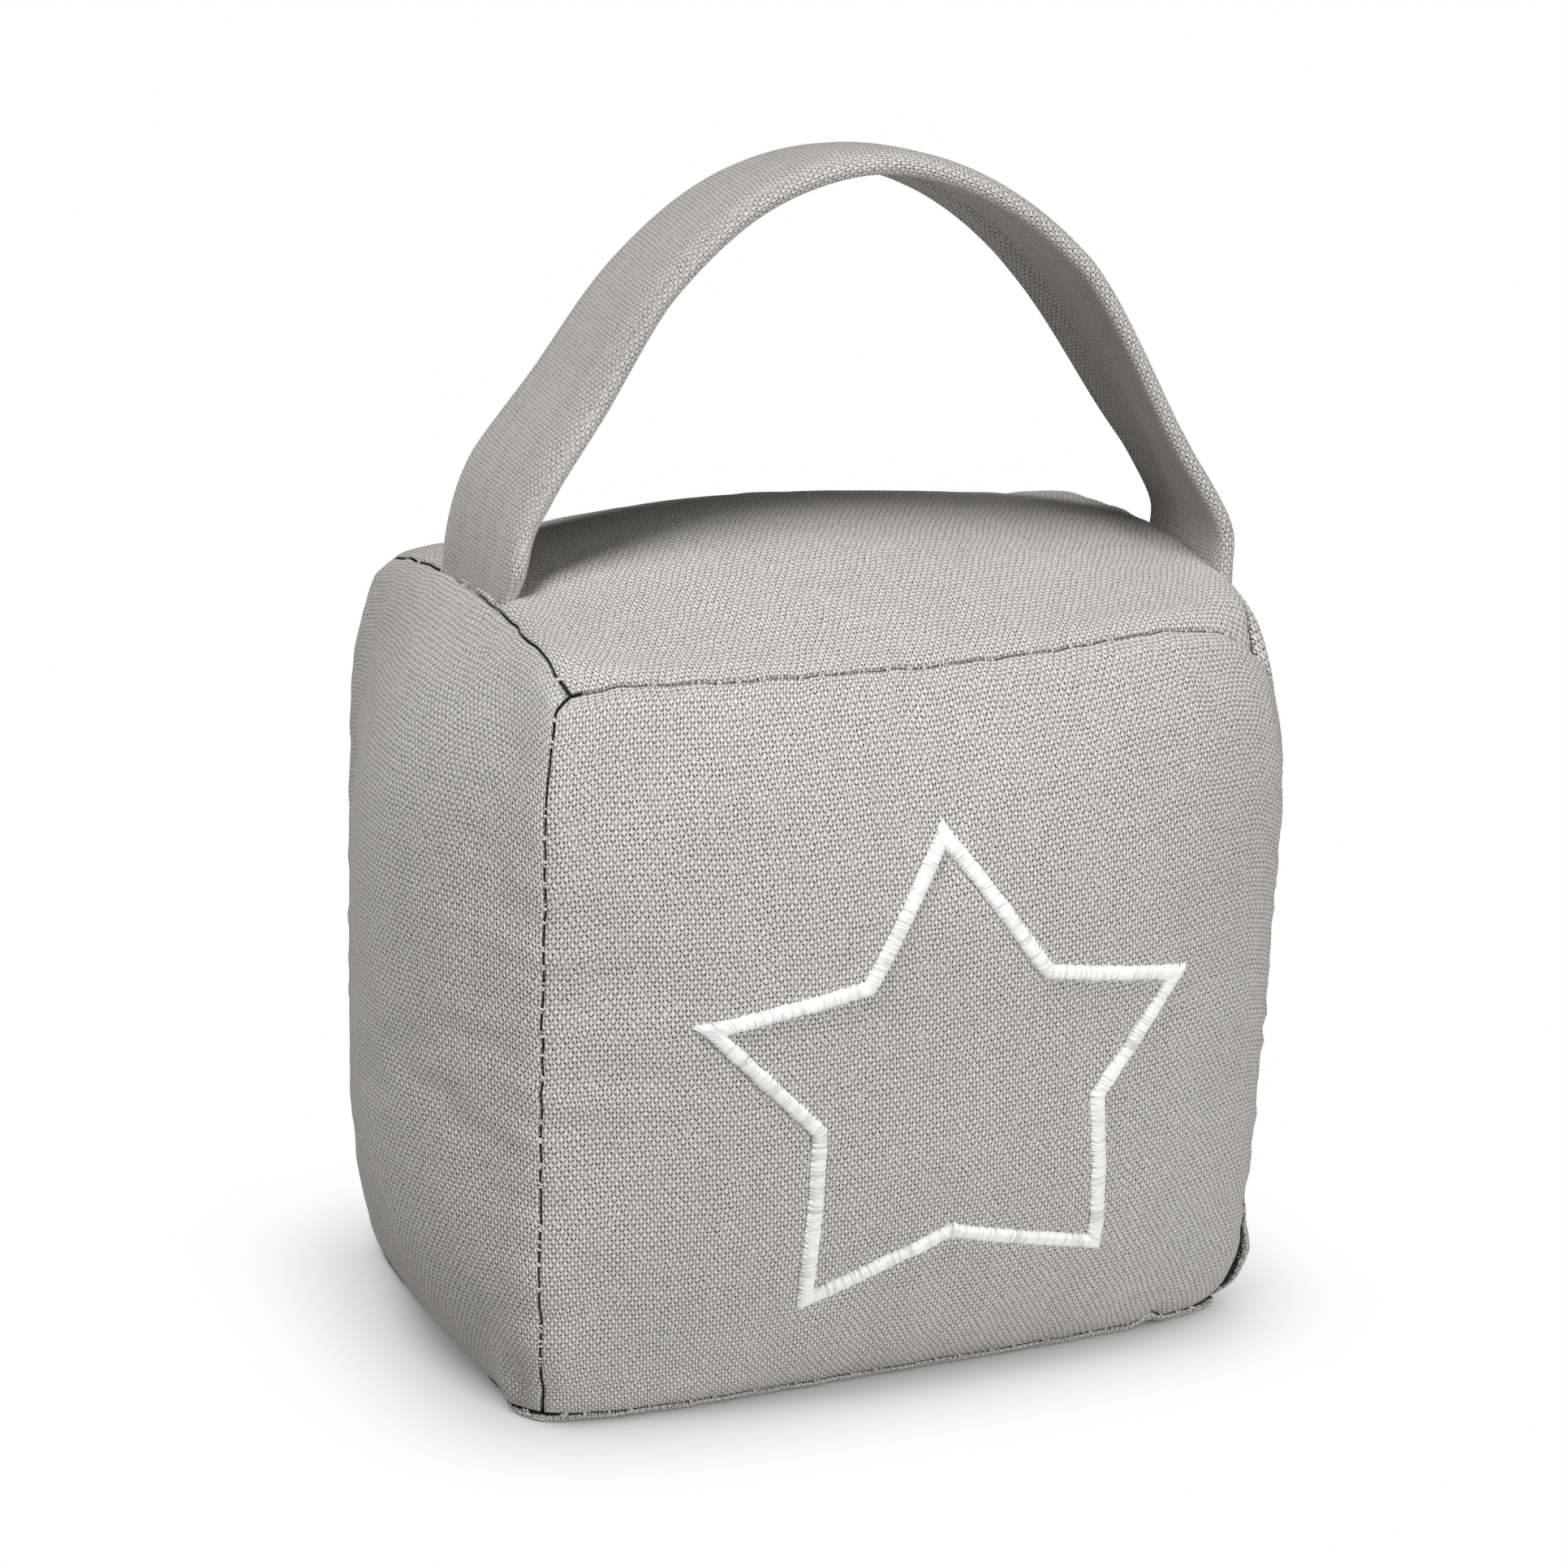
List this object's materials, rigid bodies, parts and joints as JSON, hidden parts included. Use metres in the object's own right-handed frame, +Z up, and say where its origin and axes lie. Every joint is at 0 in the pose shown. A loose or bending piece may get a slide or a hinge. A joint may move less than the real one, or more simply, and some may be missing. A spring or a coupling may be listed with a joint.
{
  "type": "weighted fabric door stop",
  "caption": "Stuffed canvas block that stands on its flat base to hold a door, with a cloth carry strap across its top and a star embroidered on its front.",
  "frame": {"origin": "on the floor, under the middle of the whole object's bounding box", "axes": "+Z up, through the carry strap; -Y towards the front panel with the star; +X to the right as seen from the front"},
  "size_m": [0.1722, 0.1324, 0.226],
  "materials": {
    "canvas": "plain-woven grey cotton canvas, matt",
    "strap_canvas": "the same canvas folded into a strap, matt",
    "embroidery_thread": "white satin-stitched embroidery thread, soft sheen"
  },
  "bodies": {
    "root": {"body": "canvas", "carry_handle": "strap_canvas", "star_embroidery": "embroidery_thread"}
  },
  "joints": []
}
